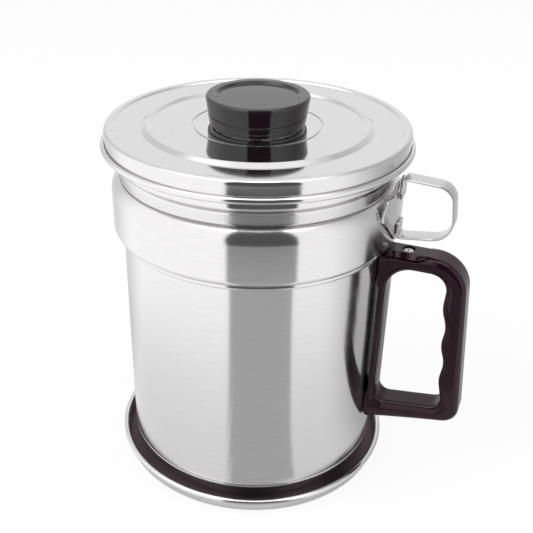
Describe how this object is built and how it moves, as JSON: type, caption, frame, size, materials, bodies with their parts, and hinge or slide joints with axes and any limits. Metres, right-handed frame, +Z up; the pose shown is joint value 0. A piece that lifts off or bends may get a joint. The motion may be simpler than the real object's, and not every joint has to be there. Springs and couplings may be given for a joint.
{
  "type": "grease strainer pot",
  "caption": "Stainless steel grease pot with a black side handle, nested strainer vessel with a strap loop, lift-off knobbed lid and drip saucer.",
  "frame": {"origin": "on the pot's axis at the saucer's flat underside", "axes": "+Z up along the pot's axis, +X toward the side handle"},
  "size_m": [0.1851, 0.1472, 0.1931],
  "materials": {
    "steel_satin": "satin, fine turned hairlines",
    "steel_plain": "smooth rolled sheet",
    "steel_mesh": "fine woven wire",
    "steel_bright": "bright plated",
    "black_phenolic": "glossy moulding",
    "brass": "turned"
  },
  "bodies": {
    "saucer": {"saucer": "steel_satin"},
    "pot": {"pot_shell": "steel_satin", "upper_bracket": "steel_plain", "lower_bracket": "steel_plain", "handle_grip": "black_phenolic", "handle_screw": "steel_bright"},
    "vessel": {"vessel_shell": "steel_satin", "strap_plate": "steel_plain", "strap_loop": "steel_plain"},
    "strainer": {"strainer_cup": "steel_satin", "strainer_mesh": "steel_mesh", "mesh_ring": "steel_plain"},
    "lid": {"lid_shell": "steel_satin", "lid_knob": "black_phenolic", "knob_insert": "brass", "knob_screw": "steel_bright", "knob_washer": "steel_bright"}
  },
  "joints": [
    {"name": "pot_lift", "type": "slide", "parent": "saucer", "child": "pot", "axis": [0, 0, 1], "range_m": [0, 0.03]},
    {"name": "vessel_lift", "type": "slide", "parent": "pot", "child": "vessel", "axis": [0, 0, 1], "range_m": [0, 0.04]},
    {"name": "strainer_lift", "type": "slide", "parent": "vessel", "child": "strainer", "axis": [0, 0, 1], "range_m": [0, 0.06]},
    {"name": "lid_lift", "type": "slide", "parent": "strainer", "child": "lid", "axis": [0, 0, 1], "range_m": [0, 0.05]}
  ]
}
